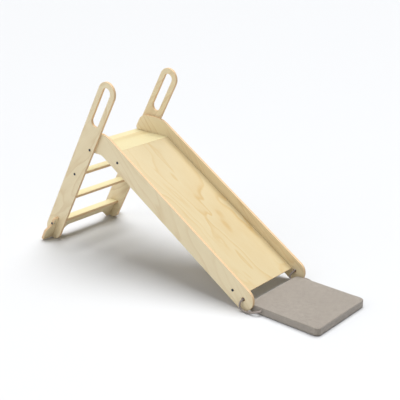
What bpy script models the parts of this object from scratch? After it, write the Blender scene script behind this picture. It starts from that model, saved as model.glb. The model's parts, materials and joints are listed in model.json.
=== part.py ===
"""A folding toddler slide in birch plywood, modelled in metres with +Z up.

The origin is on the floor, under the middle of the slide's length and width. +X runs from the
ladder's foot to the mat, and +Y is the left of a child who faces down the chute.

It has three bodies. The slide is two bent side panels that carry a platform and a chute. The ladder is
two leaning panels with handle slots, four treads, a brace board and two outrigger feet, and it turns on
the pivot bolts to fold against the slide's underside. The landing mat is tied through a hole in the end
of each slide panel, and flips up about those holes towards the chute.
"""

import math

import bmesh
import bpy
from mathutils import Matrix, Vector

# Boards
PLY = 0.015  # panels, treads, platform, rails, brace and outriggers
CHUTE_PLY = 0.0065
PANEL = 0.120  # width of every side panel
END_R = PANEL / 2  # their ends are full round
GAP = 0.0003  # between pieces that touch
HOUSING = 0.005  # depth of the housings and grooves that hold treads, platform and chute
LENGTH = 1.8854  # ladder foot to mat
LADDER_W = 0.478  # outside to outside
SLIDE_W = 0.446  # it swings between the ladder's panels

# Ladder, measured up its panels from the centre of the foot's round end
LEAN = math.radians(29.4)
REACH = 1.010  # between the centres of the two round ends
SLOT_R = 0.028  # handle slot
SLOT_LENGTH = 0.192  # between the centres of its ends
PLATFORM_Z = 0.6145
RISE = 0.1655
TREAD_DEPTH = 0.060
TOP_TREAD_INSET = 0.0065  # from the panels' back edge

# Brace board and outriggers, in one plane with the lowest tread
BRACE_FORWARD = 0.003  # of the panels' centre line
BRACE_BOTTOM = -0.0592
BRACE_ARCH = 0.0024
ARCH_SPAN = 0.276
ARCH_FOOT_SPAN = 0.396
OUTRIGGER_OUT = 0.070
OUTRIGGER_LOBE = 0.033
OUTRIGGER_TOP = 0.0975
OUTRIGGER_SHANK = 0.078
OUTRIGGER_NUT_IN = 0.012  # from the outrigger's edge
DOWEL_UP = -0.030
DOWEL_R = 0.004
DOWEL_LENGTH = 0.056

# Slide
SLOPE = math.radians(31.6)
CORD_HOLE = Vector((0.5157, 0, END_R))  # also the centre of the panel's lower round end
CORD_HOLE_R = 0.010
RAIL_Z = 0.7105  # top of the side panels beside the platform
BEND_TOP_R = 0.150
BEND_BOTTOM_R = 0.060
REAR_TOP_R = 0.070
REAR_BOTTOM_R = 0.015
CHUTE_DROP = 0.0562  # from the side panels' top edge to the chute's surface
CHUTE_LENGTH = 1.032
CROSS_RAIL = 0.060
CROSS_RAIL_AT = (0.056, 0.981)  # down the chute, and where the rail bolts go in
PIVOT_FORWARD = 0.036  # of the ladder panels' centre line

# Fasteners: radii and lengths
M6, M8 = 0.003, 0.004
HOLE = 0.0003  # a hole's radius over its bolt's
HEAD_R, HEAD_H = 0.007, 0.0035
SHANK = 0.050
DRILL_OVER = 0.002  # how far a cutter runs past what it cuts
NUT_R, NUT_LENGTH = 0.005, 0.012
NUT_DEPTH = 0.030  # from the board's end to the barrel nut's axis
LOWER_NUT_DEPTH = 0.026  # where the outrigger's bolt ends
PIVOT_SHANK = 0.068
PIVOT_NUT_R = 0.006
BUSH_R = 0.006

# Landing mat and its cords
MAT_REAR = 0.5307
MAT_W = 0.415
MAT_H = 0.044
MAT_CORNER = 0.025
MAT_SOFT = 0.006
MAT_SKIN = 0.0015
CORD_R = 0.005
SEAM_Z = 0.022
# heights of each cord's outer loop, from below the hole round to the mat's side: the right one hangs lower
CORD_SAG = {
    "left": (0.0250, 0.0160, 0.0130, 0.0178, 0.0215, 0.0225, 0.0220),
    "right": (0.0235, 0.0125, 0.0075, 0.0085, 0.0112, 0.0170, 0.0210),
}

SHARP = math.radians(35)  # edges sharper than this stay crisp
STEPS = 9  # facets in a quarter turn of an outline
SIDES = 16  # facets round a turned piece

FOOT = Vector((-LENGTH / 2 + END_R, 0, END_R))
TREAD_TOPS = [PLATFORM_Z - n * RISE for n in (3, 2, 1)]
LADDER_IN = LADDER_W / 2 - PLY
SLIDE_IN = SLIDE_W / 2 - PLY


def ladder_x(z, forward=0.0):
    """World X, at height z, of the line up a ladder panel this far in front of its centre line."""
    return FOOT.x + (z - FOOT.z) * math.tan(LEAN) + forward / math.cos(LEAN)


def slope_point(along, above):
    """World point measured from the cord hole: up the slope, and square to it."""
    back = Vector((-math.cos(SLOPE), 0, math.sin(SLOPE)))
    normal = Vector((math.sin(SLOPE), 0, math.cos(SLOPE)))
    return CORD_HOLE + along * back + above * normal


def slope_x(z, above):
    """World X, at height z, of the line that runs down the slope this far above its centre line."""
    on = slope_point(0, above)
    return on.x - (z - on.z) / math.tan(SLOPE)


PIVOT = Vector((ladder_x(PLATFORM_Z - PLY / 2, PIVOT_FORWARD), 0, PLATFORM_Z - PLY / 2))
TOP_TREAD_X = ladder_x(PLATFORM_Z, -END_R) + TOP_TREAD_INSET
NOTCH_X = TOP_TREAD_X + TREAD_DEPTH + 0.0016  # clear of the top tread as the ladder swings
CREASE = Vector((slope_x(PLATFORM_Z, END_R - CHUTE_DROP), 0, PLATFORM_Z))


# ---- helpers ----


def clear_scene():
    for obj in list(bpy.data.objects):
        bpy.data.objects.remove(obj)


def new_collection(name):
    collection = bpy.data.collections.new(name)
    bpy.context.scene.collection.children.link(collection)
    return collection


def new_material(name, colour, roughness, metallic=0.0):
    material = bpy.data.materials.new(name)
    material.use_nodes = True
    shader = material.node_tree.nodes["Principled BSDF"]
    shader.inputs["Base Color"].default_value = (*colour, 1)
    shader.inputs["Roughness"].default_value = roughness
    shader.inputs["Metallic"].default_value = metallic
    material.diffuse_color = (*colour, 1)
    return material


def new_frame(name, origin, pitch=0.0):
    """An empty that its pieces hang from, leaned about Y."""
    empty = bpy.data.objects.new(name, None)
    parts.objects.link(empty)
    empty.location = origin
    empty.rotation_euler.y = pitch
    return empty


def finish(obj, mesh):
    """Closes a mesh's loose caps and turns its faces outwards."""
    bm = bmesh.new()
    bm.from_mesh(mesh)
    bmesh.ops.remove_doubles(bm, verts=bm.verts, dist=1e-5)
    bmesh.ops.recalc_face_normals(bm, faces=bm.faces)
    bm.to_mesh(mesh)
    bm.free()
    return obj


def place(obj, frame, at, pitch=0.0, look=None):
    """Hangs a piece from a frame so that it sits at a world point, leaned by a world angle."""
    obj.parent = frame
    turn = Matrix.Rotation(-frame.rotation_euler.y, 3, "Y")
    obj.location = turn @ (Vector(at) - frame.location)
    obj.rotation_euler.y = pitch - frame.rotation_euler.y
    if look:
        obj.data.materials.append(look)
    return obj


def rounded(corners):
    """Points of an outline whose corners are (x, z, radius)."""
    points = []
    for i, (x, z, radius) in enumerate(corners):
        corner = Vector((x, z))
        before = (Vector(corners[i - 1][:2]) - corner).normalized()
        after = (Vector(corners[(i + 1) % len(corners)][:2]) - corner).normalized()
        if not radius:
            points.append(corner)
            continue
        half = before.angle(after) / 2
        centre = corner + (before + after).normalized() * radius / math.sin(half)
        start = corner + before * radius / math.tan(half) - centre
        turn = start.angle_signed(corner + after * radius / math.tan(half) - centre)
        steps = max(2, round(abs(turn) / (math.pi / 2) * STEPS))
        points += [centre + Matrix.Rotation(-turn * k / steps, 2) @ start for k in range(steps + 1)]
    return points


def circle(x, z, radius, sides=24):
    turns = (2 * math.pi * k / sides for k in range(sides))
    return [Vector((x + radius * math.cos(a), z + radius * math.sin(a))) for a in turns]


def stadium(x, low, high, radius):
    """An upright slot's outline, from the centre of its lower end to the centre of its upper one."""
    return rounded(
        [
            (x - radius, low - radius, radius),
            (x + radius, low - radius, radius),
            (x + radius, high + radius, radius),
            (x - radius, high + radius, radius),
        ]
    )


def board(name, outline, thickness, holes=()):
    """A flat board that stands in the XZ plane, centred on it, with holes right through."""
    curve = bpy.data.curves.new(name, "CURVE")
    curve.dimensions = "2D"
    curve.fill_mode = "BOTH"
    curve.extrude = thickness / 2
    for loop in (outline, *holes):
        spline = curve.splines.new("POLY")
        spline.points.add(len(loop) - 1)
        spline.use_cyclic_u = True
        for point, place_ in zip(spline.points, loop):
            point.co = (place_.x, place_.y, 0, 1)
    drawn = bpy.data.objects.new(name, curve)
    parts.objects.link(drawn)
    mesh = bpy.data.meshes.new_from_object(drawn.evaluated_get(bpy.context.evaluated_depsgraph_get()))
    bpy.data.objects.remove(drawn)
    mesh.name = name
    mesh.transform(Matrix.Rotation(math.pi / 2, 4, "X"))
    obj = bpy.data.objects.new(name, mesh)
    parts.objects.link(obj)
    return finish(obj, mesh)


def box(name, size, collection=None):
    mesh = bpy.data.meshes.new(name)
    bm = bmesh.new()
    bmesh.ops.create_cube(bm, size=1)
    bmesh.ops.scale(bm, vec=size, verts=bm.verts)
    bm.to_mesh(mesh)
    bm.free()
    obj = bpy.data.objects.new(name, mesh)
    (collection or parts).objects.link(obj)
    return obj


def turned(name, profile, collection=None):
    """A solid turned about its own Y axis, from (radius, y) points that run from +Y to -Y."""
    drawn = bpy.data.meshes.new(name)
    drawn.from_pydata([(radius, 0, y) for radius, y in profile],
                      [(i, i + 1) for i in range(len(profile) - 1)], [])
    blank = bpy.data.objects.new(name, drawn)
    parts.objects.link(blank)
    screw = blank.modifiers.new("turn", "SCREW")
    screw.steps = screw.render_steps = SIDES
    screw.use_merge_vertices = True
    screw.merge_threshold = 0.00005
    mesh = bpy.data.meshes.new_from_object(blank.evaluated_get(bpy.context.evaluated_depsgraph_get()))
    bpy.data.objects.remove(blank)
    bpy.data.meshes.remove(drawn)
    mesh.name = name
    mesh.transform(Matrix.Rotation(-math.pi / 2, 4, "X"))
    obj = bpy.data.objects.new(name, mesh)
    (collection or parts).objects.link(obj)
    finish(obj, mesh)
    mesh.shade_smooth()
    mesh.set_sharp_from_angle(angle=SHARP)
    return obj


def rod(name, radius, length, collection=None, centre=0.0):
    """A plain cylinder along its own Y axis."""
    mesh = bpy.data.meshes.new(name)
    bm = bmesh.new()
    bmesh.ops.create_cone(bm, cap_ends=True, segments=SIDES, radius1=radius, radius2=radius, depth=length)
    bmesh.ops.translate(bm, verts=bm.verts, vec=(0, 0, centre))
    bmesh.ops.rotate(bm, verts=bm.verts, matrix=Matrix.Rotation(-math.pi / 2, 3, "X"))
    bm.to_mesh(mesh)
    bm.free()
    mesh.shade_smooth()
    mesh.set_sharp_from_angle(angle=SHARP)
    obj = bpy.data.objects.new(name, mesh)
    (collection or parts).objects.link(obj)
    return obj


def bolt(name, radius, shank):
    """A low domed head on a plain shank that runs to -Y from the face the head sits on."""
    dome = [(HEAD_R * math.cos(a), HEAD_H * (0.35 + 0.65 * math.sin(a))) for a in (1.2, 0.8, 0.4, 0)]
    return turned(name, [(0, HEAD_H), *dome, (HEAD_R, GAP), (radius, GAP), (radius, -shank), (0, -shank)])


def cut(obj, cutter, frame, at, pitch=0.0):
    """Takes a cutter's shape out of a piece."""
    place(cutter, frame, at, pitch)
    cutter.hide_render = True
    cutter.display_type = "WIRE"
    boolean = obj.modifiers.new(cutter.name, "BOOLEAN")
    boolean.operation = "DIFFERENCE"
    boolean.solver = "EXACT"
    boolean.object = cutter


def sides():
    """The object's two sides: a name, the sign of its Y, and the turn that points a bolt's head out."""
    return (("left", 1, 0.0), ("right", -1, math.pi))


# ---- pieces ----

clear_scene()
parts = new_collection("toddler_slide")
cutters = new_collection("cutters")

birch = new_material("birch_ply", (0.72, 0.60, 0.41), 0.5)
birch_dark = new_material("birch_tread", (0.80, 0.69, 0.49), 0.5)
beech = new_material("beech_dowel", (0.62, 0.42, 0.26), 0.6)
steel = new_material("black_zinc_steel", (0.10, 0.11, 0.14), 0.35, 1.0)
nylon = new_material("nylon", (0.75, 0.75, 0.73), 0.4)
fabric = new_material("grey_fabric", (0.47, 0.42, 0.37), 0.9)
foam = new_material("foam", (0.70, 0.68, 0.60), 0.95)
grip = new_material("grip_fabric", (0.12, 0.12, 0.12), 0.9)
rope = new_material("braided_cord", (0.25, 0.22, 0.20), 0.85)

slide_frame = new_frame("slide_frame", (0, 0, 0))
chute_frame = new_frame("chute_frame", CREASE, SLOPE)
ladder_frame = new_frame("ladder_frame", PIVOT, LEAN)
mat_frame = new_frame("mat_frame", CORD_HOLE)


def on_ladder(up, forward=0.0, y=0.0):
    """World point measured up a ladder panel from its foot's centre, and forward of its centre line."""
    turn = Matrix.Rotation(LEAN, 3, "Y")
    return FOOT + turn @ Vector((forward, y, up))


def on_chute(down, below, y=0.0):
    """World point measured down the chute from its top edge, and below its surface."""
    turn = Matrix.Rotation(SLOPE, 3, "Y")
    return CREASE + turn @ Vector((down, y, -below))


def up_ladder(z, forward=0.0):
    """How far up the ladder a height is, on the line this far forward."""
    return (z - FOOT.z + forward * math.sin(LEAN)) / math.cos(LEAN)


BRACE_BOLT_UP = up_ladder(TREAD_TOPS[0] - PLY / 2, BRACE_FORWARD)
UPPER_BOLT_UP = up_ladder(TREAD_TOPS[2] - PLY / 2)
PIVOT_UP = up_ladder(PIVOT.z, PIVOT_FORWARD)


def make_treads():
    depth = (TREAD_DEPTH, 2 * (LADDER_IN + HOUSING - GAP), PLY)
    made = []
    for name, top in zip(("lower", "middle", "upper"), TREAD_TOPS):
        at = (ladder_x(top - PLY / 2), 0, top - PLY / 2)
        made.append(place(box(f"tread_{name}", depth), ladder_frame, at, 0, birch_dark))
    at = (TOP_TREAD_X + TREAD_DEPTH / 2, 0, PLATFORM_Z - PLY / 2)
    made.append(place(box("tread_top", depth), ladder_frame, at, 0, birch_dark))
    return made


def make_ladder_sides(treads):
    size = (TREAD_DEPTH + 2 * GAP, 2 * HOUSING, PLY + 2 * GAP)
    for side, sign, _ in sides():
        panel = board(
            f"ladder_side_{side}",
            stadium(0, 0, REACH, END_R),
            PLY,
            [
                stadium(0, REACH - SLOT_LENGTH, REACH, SLOT_R),
                circle(PIVOT_FORWARD, PIVOT_UP, BUSH_R + HOLE),
                circle(0, UPPER_BOLT_UP, M6 + HOLE),
                circle(BRACE_FORWARD, BRACE_BOLT_UP, M6 + HOLE),
                circle(BRACE_FORWARD, DOWEL_UP, DOWEL_R + HOLE),
            ],
        )
        place(panel, ladder_frame, FOOT + Vector((0, sign * (LADDER_W - PLY) / 2, 0)), LEAN, birch)
        for tread in treads:
            at = ladder_frame.location + Matrix.Rotation(LEAN, 3, "Y") @ tread.location
            housing = box(f"cut_{panel.name}_{tread.name}", size, cutters)
            cut(panel, housing, ladder_frame, at + Vector((0, sign * LADDER_IN, 0)))


def make_brace(lower_tread):
    """The brace board under the lowest tread, cut away between its feet, and the outriggers beside it."""
    half = LADDER_IN - GAP
    top = up_ladder(TREAD_TOPS[0] - PLY - GAP, BRACE_FORWARD - PLY / 2) - GAP
    outline = rounded(
        [
            (-half, BRACE_BOTTOM, 0),
            (-ARCH_FOOT_SPAN / 2, BRACE_BOTTOM, 0.004),
            (-ARCH_SPAN / 2, BRACE_ARCH, 0.030),
            (ARCH_SPAN / 2, BRACE_ARCH, 0.030),
            (ARCH_FOOT_SPAN / 2, BRACE_BOTTOM, 0.004),
            (half, BRACE_BOTTOM, 0),
            (half, top, 0),
            (-half, top, 0),
        ]
    )
    brace = board("brace_board", outline, PLY)
    brace.data.transform(Matrix.Rotation(math.pi / 2, 4, "Z"))
    place(brace, ladder_frame, on_ladder(0, BRACE_FORWARD), LEAN, birch)
    foot = rounded(
        [
            (GAP, BRACE_BOTTOM, 0),
            (OUTRIGGER_OUT - 0.002, BRACE_BOTTOM, 0.006),
            (OUTRIGGER_OUT, 0.010, 0.024),
            (OUTRIGGER_LOBE, 0.050, 0),
            (OUTRIGGER_LOBE, OUTRIGGER_TOP, 0.016),
            (GAP, OUTRIGGER_TOP, 0),
        ]
    )
    for side, sign, turn in sides():
        outrigger = board(f"outrigger_{side}", foot, PLY)
        outrigger.data.transform(Matrix.Rotation(sign * math.pi / 2, 4, "Z"))
        at = on_ladder(0, BRACE_FORWARD, sign * LADDER_W / 2)
        place(outrigger, ladder_frame, at, LEAN, birch)
        deep = LADDER_W / 2 + OUTRIGGER_LOBE
        at = on_ladder(BRACE_BOLT_UP, BRACE_FORWARD, sign * deep)
        drilled = [outrigger, lower_tread]
        drive(f"outrigger_bolt_{side}", M6, OUTRIGGER_SHANK, at, turn, LEAN, ladder_frame, drilled)
        at = on_ladder(BRACE_BOLT_UP, BRACE_FORWARD, sign * (deep - OUTRIGGER_NUT_IN))
        seat_nut(f"outrigger_nut_{side}", NUT_R, M6, at, LEAN, -math.pi / 2, ladder_frame, outrigger)
        z = TREAD_TOPS[0] - PLY / 2
        at = (ladder_x(z, BRACE_FORWARD), sign * (LADDER_IN - LOWER_NUT_DEPTH), z)
        seat_nut(f"lower_tread_nut_{side}", NUT_R, M6, at, 0, 0, ladder_frame, lower_tread)
        at = on_ladder(DOWEL_UP, BRACE_FORWARD, sign * (LADDER_W - PLY) / 2)
        dowel = rod(f"brace_dowel_{side}", DOWEL_R, DOWEL_LENGTH)
        place(dowel, ladder_frame, at, LEAN, beech)
        for piece in (brace, outrigger):
            bore = rod(f"cut_{dowel.name}_{piece.name}", DOWEL_R + HOLE, DOWEL_LENGTH + DRILL_OVER, cutters)
            cut(piece, bore, ladder_frame, at, LEAN)


def drive(name, radius, shank, at, turn, pitch, frame, boards):
    """A bolt that enters along Y at a point on an outer face, and its clearance hole in each board."""
    made = bolt(name, radius, shank)
    made.data.transform(Matrix.Rotation(turn, 4, "Z"))
    place(made, frame, at, pitch, steel)
    inwards = Vector((0, -math.cos(turn) * shank / 2, 0))
    for piece in boards:
        bore = rod(f"cut_{name}_{piece.name}", radius + HOLE, shank + 2 * DRILL_OVER, cutters)
        cut(piece, bore, frame, Vector(at) + inwards, pitch)


def seat_nut(name, radius, bolt_radius, at, pitch, tip, frame, piece):
    """A barrel nut across a bolt, in a blind hole, which opens at the board's underside at tip 0."""
    nut = rod(name, radius, NUT_LENGTH)
    nut.data.transform(Matrix.Rotation(math.pi / 2, 4, "X"))  # the rod's own length is now up
    nut.data.transform(Matrix.Rotation(tip, 4, "Y"))
    place(nut, frame, at, pitch, steel)
    cut(nut, rod(f"cut_{name}_thread", bolt_radius + HOLE, 4 * radius, cutters), frame, at, pitch)
    top, mouth = NUT_LENGTH / 2 + GAP, -PLY / 2 - DRILL_OVER
    pocket = rod(f"cut_{name}_pocket", radius + HOLE, top - mouth, cutters, (top + mouth) / 2)
    pocket.data.transform(Matrix.Rotation(math.pi / 2, 4, "X"))
    pocket.data.transform(Matrix.Rotation(tip, 4, "Y"))
    cut(piece, pocket, frame, at, pitch)


def make_upper_bolts(tread):
    z = TREAD_TOPS[2] - PLY / 2
    for side, sign, turn in sides():
        at = (ladder_x(z), sign * LADDER_W / 2, z)
        drive(f"upper_tread_bolt_{side}", M6, SHANK, at, turn, 0, ladder_frame, [tread])
        at = (ladder_x(z), sign * (LADDER_IN - NUT_DEPTH), z)
        seat_nut(f"upper_tread_nut_{side}", NUT_R, M6, at, 0, 0, ladder_frame, tread)


def make_slide_sides():
    end = slope_point(-END_R, -END_R), slope_point(-END_R, END_R)
    low = RAIL_Z - PANEL
    rest = PLATFORM_Z + GAP
    outline = rounded(
        [
            (ladder_x(rest, -END_R), rest, REAR_BOTTOM_R),
            (NOTCH_X, rest, 0),
            (NOTCH_X, low, 0.017),
            (slope_x(low, -END_R), low, BEND_BOTTOM_R),
            (end[0].x, end[0].z, END_R),
            (end[1].x, end[1].z, END_R),
            (slope_x(RAIL_Z, END_R), RAIL_Z, BEND_TOP_R),
            (ladder_x(RAIL_Z, -END_R), RAIL_Z, REAR_TOP_R),
        ]
    )
    rail_depth = CHUTE_PLY + GAP + PLY / 2
    bolts = [on_chute(down, rail_depth) for down in CROSS_RAIL_AT]
    holes = [circle(at.x, at.z, M6 + HOLE) for at in bolts]
    holes.append(circle(PIVOT.x, PIVOT.z, M8 + HOLE))
    holes.append(circle(CORD_HOLE.x, CORD_HOLE.z, CORD_HOLE_R))
    groove = (CHUTE_LENGTH + GAP, 2 * HOUSING, CHUTE_PLY + 2 * GAP)
    for side, sign, _ in sides():
        panel = board(f"slide_side_{side}", outline, PLY, holes)
        place(panel, slide_frame, (0, sign * (SLIDE_W - PLY) / 2, 0), 0, birch)
        at = on_chute(CHUTE_LENGTH / 2, CHUTE_PLY / 2, sign * SLIDE_IN)
        cut(panel, box(f"cut_groove_{side}", groove, cutters), chute_frame, at, SLOPE)
        housing = board(f"cut_housing_{side}", platform_outline(-GAP), 2 * HOUSING)
        parts.objects.unlink(housing)
        cutters.objects.link(housing)
        cut(panel, housing, slide_frame, (0, sign * SLIDE_IN, 0))


def platform_outline(inset):
    """The platform's section: square at the top tread, and mitred to meet the chute's square end."""
    mitre = math.tan(SLOPE)
    top, low = PLATFORM_Z - inset, PLATFORM_Z - PLY + inset
    front = CREASE.x - GAP / math.cos(SLOPE) - inset
    back = NOTCH_X + inset
    low_front = front - (top - low) * mitre
    return [Vector(p) for p in ((back, low), (low_front, low), (front, top), (back, top))]


def make_deck():
    width = 2 * (SLIDE_IN + HOUSING - GAP)
    platform = board("platform_board", platform_outline(0), width)
    place(platform, slide_frame, (0, 0, 0), 0, birch_dark)
    chute = box("chute_panel", (CHUTE_LENGTH, width, CHUTE_PLY))
    place(chute, chute_frame, on_chute(CHUTE_LENGTH / 2, CHUTE_PLY / 2), SLOPE, birch)
    below = CHUTE_PLY + GAP + PLY / 2
    for name, down in zip(("upper", "lower"), CROSS_RAIL_AT):
        rail = box(f"cross_rail_{name}", (CROSS_RAIL, 2 * (SLIDE_IN - GAP), PLY))
        place(rail, chute_frame, on_chute(down, below), SLOPE, birch)
        for side, sign, turn in sides():
            at = on_chute(down, below, sign * SLIDE_W / 2)
            drive(f"{name}_rail_bolt_{side}", M6, SHANK, at, turn, SLOPE, chute_frame, [rail])
            at = on_chute(down, below, sign * (SLIDE_IN - NUT_DEPTH))
            seat_nut(f"{name}_rail_nut_{side}", NUT_R, M6, at, SLOPE, 0, chute_frame, rail)
    for side, sign, turn in sides():
        at = PIVOT + Vector((0, sign * LADDER_W / 2, 0))
        drive(f"pivot_bolt_{side}", M8, PIVOT_SHANK, at, turn, 0, slide_frame, [platform])
        at = PIVOT + Vector((0, sign * (SLIDE_IN - NUT_DEPTH), 0))
        seat_nut(f"pivot_nut_{side}", PIVOT_NUT_R, M8, at, 0, 0, slide_frame, platform)


def make_bushes():
    half = PLY / 2 - GAP
    wall = [(M8 + HOLE, half), (BUSH_R, half), (BUSH_R, -half), (M8 + HOLE, -half), (M8 + HOLE, half)]
    for side, sign, _ in sides():
        at = PIVOT + Vector((0, sign * (LADDER_W - PLY) / 2, 0))
        place(turned(f"pivot_bush_{side}", wall), ladder_frame, at, LEAN, nylon)


def mat_block(name, inset, low, high, soft, collection=None):
    """A flat block with the mat's rounded corners, its top edges softened."""
    x0, x1 = MAT_REAR + inset, LENGTH / 2 - inset
    y0, y1 = inset - MAT_W / 2, MAT_W / 2 - inset
    radius = MAT_CORNER - inset
    outline = rounded([(x0, y0, radius), (x1, y0, radius), (x1, y1, radius), (x0, y1, radius)])
    bm = bmesh.new()
    face = bm.faces.new([bm.verts.new((p.x, p.y, low)) for p in outline])
    lifted = bmesh.ops.extrude_face_region(bm, geom=[face])["geom"]
    top = [v for v in lifted if isinstance(v, bmesh.types.BMVert)]
    bmesh.ops.translate(bm, verts=top, vec=(0, 0, high - low))
    if soft:
        edges = [e for e in bm.edges if all(v in top for v in e.verts)]
        bmesh.ops.bevel(bm, geom=edges, offset=soft, segments=3, profile=0.5, affect="EDGES", material=-1)
    bmesh.ops.translate(bm, verts=bm.verts, vec=-CORD_HOLE)
    mesh = bpy.data.meshes.new(name)
    bm.to_mesh(mesh)
    bm.free()
    obj = bpy.data.objects.new(name, mesh)
    (collection or parts).objects.link(obj)
    return finish(obj, mesh)


def make_mat():
    """A cover over a foam core, both on a base sheet of the mat's whole outline."""
    inset = MAT_SKIN + GAP
    cover = place(mat_block("mat_cover", 0, inset, MAT_H, MAT_SOFT), mat_frame, CORD_HOLE, 0, fabric)
    cavity = mat_block("cut_mat_cavity", MAT_SKIN, -DRILL_OVER, MAT_H - MAT_SKIN, MAT_SOFT, cutters)
    cut(cover, cavity, mat_frame, CORD_HOLE)
    core = mat_block("mat_core", inset, inset, MAT_H - inset, MAT_SOFT)
    place(core, mat_frame, CORD_HOLE, 0, foam)
    place(mat_block("mat_base", 0, 0, MAT_SKIN, 0), mat_frame, CORD_HOLE, 0, grip)


def cord_route(side, sign):
    """The cord's points, in world metres: from the mat's rear out through the hole, round to its side."""
    x, z = CORD_HOLE.x, CORD_HOLE.z
    middle = (SLIDE_IN + SLIDE_W / 2) / 2
    sag = CORD_SAG[side]
    legs = [
        (MAT_REAR - GAP, middle - 0.0365, SEAM_Z),
        (x + 0.0045, middle - 0.0365, SEAM_Z),
        (x - 0.0068, middle - 0.0353, z - 0.0332),
        (x - 0.0108, middle - 0.0315, z - 0.0220),
        (x - 0.0078, middle - 0.0225, z - 0.0105),
        (x - 0.0030, middle - 0.0112, z - 0.0027),
        (x, middle, z),
        (x - 0.0030, middle + 0.0112, z - 0.0027),
        (x - 0.0070, middle + 0.0190, z - 0.0115),
        (x - 0.0095, middle + 0.0220, z - 0.0235),
        (x - 0.0085, middle + 0.0223, sag[0]),
        (x + 0.0010, middle + 0.0217, sag[1]),
        (x + 0.0180, middle + 0.0215, sag[2]),
        (x + 0.0360, middle + 0.0210, sag[3]),
        (x + 0.0560, middle + 0.0190, sag[4]),
        (x + 0.0745, middle + 0.0160, sag[5]),
        (x + 0.0890, middle + 0.0110, sag[6]),
        (x + 0.0965, middle + 0.0025, SEAM_Z),
        (x + 0.0965, MAT_W / 2 + GAP, SEAM_Z),
    ]
    return [Vector((a, sign * b, c)) for a, b, c in legs]


def smooth(points, spacing):
    """Points at even spacing along a smooth curve through the given ones."""
    ends = [2 * points[0] - points[1], *points, 2 * points[-1] - points[-2]]
    fine = []
    for p, q, r, s in zip(ends, ends[1:], ends[2:], ends[3:]):
        for k in range(12):
            t = k / 12
            bend, twist = 2 * p - 5 * q + 4 * r - s, 3 * q - p - 3 * r + s
            fine.append(0.5 * (2 * q + (r - p) * t + bend * t**2 + twist * t**3))
    fine.append(points[-1])
    reach = [0.0]
    for a, b in zip(fine, fine[1:]):
        reach.append(reach[-1] + (b - a).length)
    count = round(reach[-1] / spacing)
    made, i = [], 0
    for k in range(count + 1):
        want = reach[-1] * k / count
        while i < len(reach) - 2 and reach[i + 1] < want:
            i += 1
        made.append(fine[i].lerp(fine[i + 1], (want - reach[i]) / (reach[i + 1] - reach[i])))
    return made


def make_cords():
    for side, sign, _ in sides():
        route = smooth(cord_route(side, sign), 2 * CORD_R)
        curve = bpy.data.curves.new(f"tie_cord_{side}", "CURVE")
        curve.dimensions = "3D"
        curve.bevel_depth = CORD_R
        curve.bevel_resolution = 2
        curve.use_fill_caps = True
        spline = curve.splines.new("POLY")
        spline.points.add(len(route) - 1)
        for point, at in zip(spline.points, route):
            point.co = (*(at - CORD_HOLE), 1)
        cord = bpy.data.objects.new(f"tie_cord_{side}", curve)
        parts.objects.link(cord)
        place(cord, mat_frame, CORD_HOLE, 0, rope)


treads = make_treads()
make_ladder_sides(treads)
make_brace(treads[0])
make_upper_bolts(treads[2])
make_bushes()
make_slide_sides()
make_deck()
make_mat()
make_cords()
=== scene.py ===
# %% [markdown]
# A folding toddler slide in birch plywood, with a ladder, a chute and a landing mat. The shapes that work,
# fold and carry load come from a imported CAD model, the frame. This script dresses them: eased plywood
# with its veneer and its plies, low bolt heads with a hexagon socket, two braided cords and a woven mat.

import json
import math

import bmesh
import bpy
import numpy as np
from mathutils import Matrix, Vector

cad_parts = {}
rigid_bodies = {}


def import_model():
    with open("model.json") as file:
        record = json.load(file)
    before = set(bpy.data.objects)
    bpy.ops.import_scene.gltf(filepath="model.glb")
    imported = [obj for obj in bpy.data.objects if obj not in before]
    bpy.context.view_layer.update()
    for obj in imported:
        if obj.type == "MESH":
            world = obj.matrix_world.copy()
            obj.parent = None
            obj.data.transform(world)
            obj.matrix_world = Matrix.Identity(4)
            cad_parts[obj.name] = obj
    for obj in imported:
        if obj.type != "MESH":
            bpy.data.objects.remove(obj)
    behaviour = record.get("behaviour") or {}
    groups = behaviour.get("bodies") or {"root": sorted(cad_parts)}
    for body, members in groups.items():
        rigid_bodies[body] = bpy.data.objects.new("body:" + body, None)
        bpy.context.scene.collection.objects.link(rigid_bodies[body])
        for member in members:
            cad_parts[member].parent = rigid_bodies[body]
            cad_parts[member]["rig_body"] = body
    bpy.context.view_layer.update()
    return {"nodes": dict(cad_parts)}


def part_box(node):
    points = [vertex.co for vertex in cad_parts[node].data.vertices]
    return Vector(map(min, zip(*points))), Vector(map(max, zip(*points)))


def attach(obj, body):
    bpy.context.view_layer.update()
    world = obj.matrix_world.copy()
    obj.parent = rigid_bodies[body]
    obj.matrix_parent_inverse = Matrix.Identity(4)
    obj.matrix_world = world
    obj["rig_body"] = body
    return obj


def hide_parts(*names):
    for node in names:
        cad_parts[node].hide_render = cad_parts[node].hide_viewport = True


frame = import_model()
nodes = frame["nodes"]

# %% [markdown]
# The camera comes first, because the cords are checked against what it sees. It looks down at the slide
# from its right, about halfway round from the side to the foot of the chute. A long lens some way off
# keeps the boards' edges almost parallel.

# %% Camera
VIEW_AZIMUTH, VIEW_ELEVATION = math.radians(41.09), math.radians(20.43)
VIEW_DISTANCE = 4.4521
VIEW_CENTRE = Vector((0.0690, -0.0290, 0.4105))
LENS, SENSOR = 77.236, 36.0  # mm

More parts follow.
